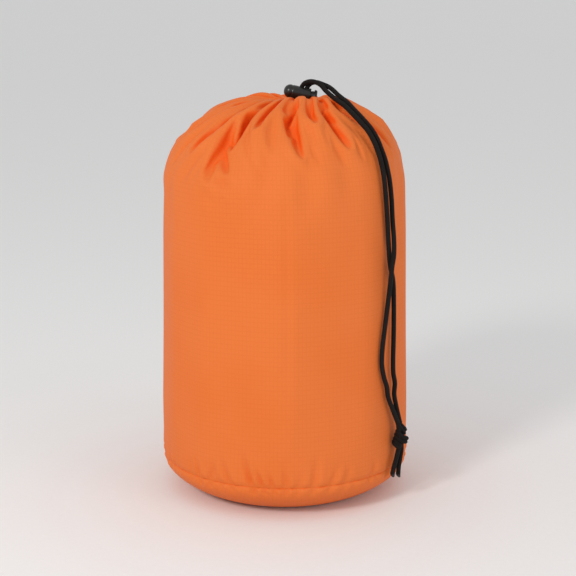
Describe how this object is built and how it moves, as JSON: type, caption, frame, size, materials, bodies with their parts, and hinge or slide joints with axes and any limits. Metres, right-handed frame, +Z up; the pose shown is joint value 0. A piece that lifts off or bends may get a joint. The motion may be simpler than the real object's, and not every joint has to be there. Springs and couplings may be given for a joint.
{
  "type": "stuff sack",
  "caption": "Cylindrical drawcord stuff sack of ripstop nylon, standing full and cinched shut, with a barrel cord lock and a double cord knotted at its end.",
  "frame": {"origin": "centre of the flat resting face under the bottom panel", "axes": "+Z up along the sack's axis to the mouth, +X to the right and -Y to the front, with the cord hanging between the front and the right and the felled seam at the back"},
  "size_m": [0.19, 0.1921, 0.3124],
  "materials": {
    "shell_fabric": "coated mini-ripstop nylon",
    "binding_tape": "matte woven tape",
    "thread": "satin sewing thread",
    "cord": "braided polyester",
    "lock_plastic": "moulded, lightly textured",
    "spring_steel": "drawn wire"
  },
  "bodies": {
    "sack": {"side_panel": "shell_fabric", "bottom_panel": "shell_fabric", "drawcord_hem": "shell_fabric", "side_seam_fell": "shell_fabric", "bottom_seam_binding": "binding_tape", "cord_exit_patch": "binding_tape", "bottom_seam_stitching": "thread", "side_seam_stitching_left": "thread", "side_seam_stitching_right": "thread", "hem_stitching": "thread", "drawcord_loop": "cord", "drawcord_strand_a": "cord", "drawcord_strand_b": "cord", "drawcord_knot": "cord", "drawcord_tail_a": "cord", "drawcord_tail_b": "cord", "cord_lock_body": "lock_plastic", "cord_lock_spring": "spring_steel"},
    "lock_plunger": {"cord_lock_plunger": "lock_plastic"}
  },
  "joints": [
    {"name": "plunger_press", "type": "slide", "parent": "sack", "child": "lock_plunger", "axis": [-0.9781, 0, 0.2079], "range_m": [0, 0.0022], "stiffness_N_per_m": 800, "springref_m": -0.005, "deforming": ["cord_lock_spring"]}
  ]
}
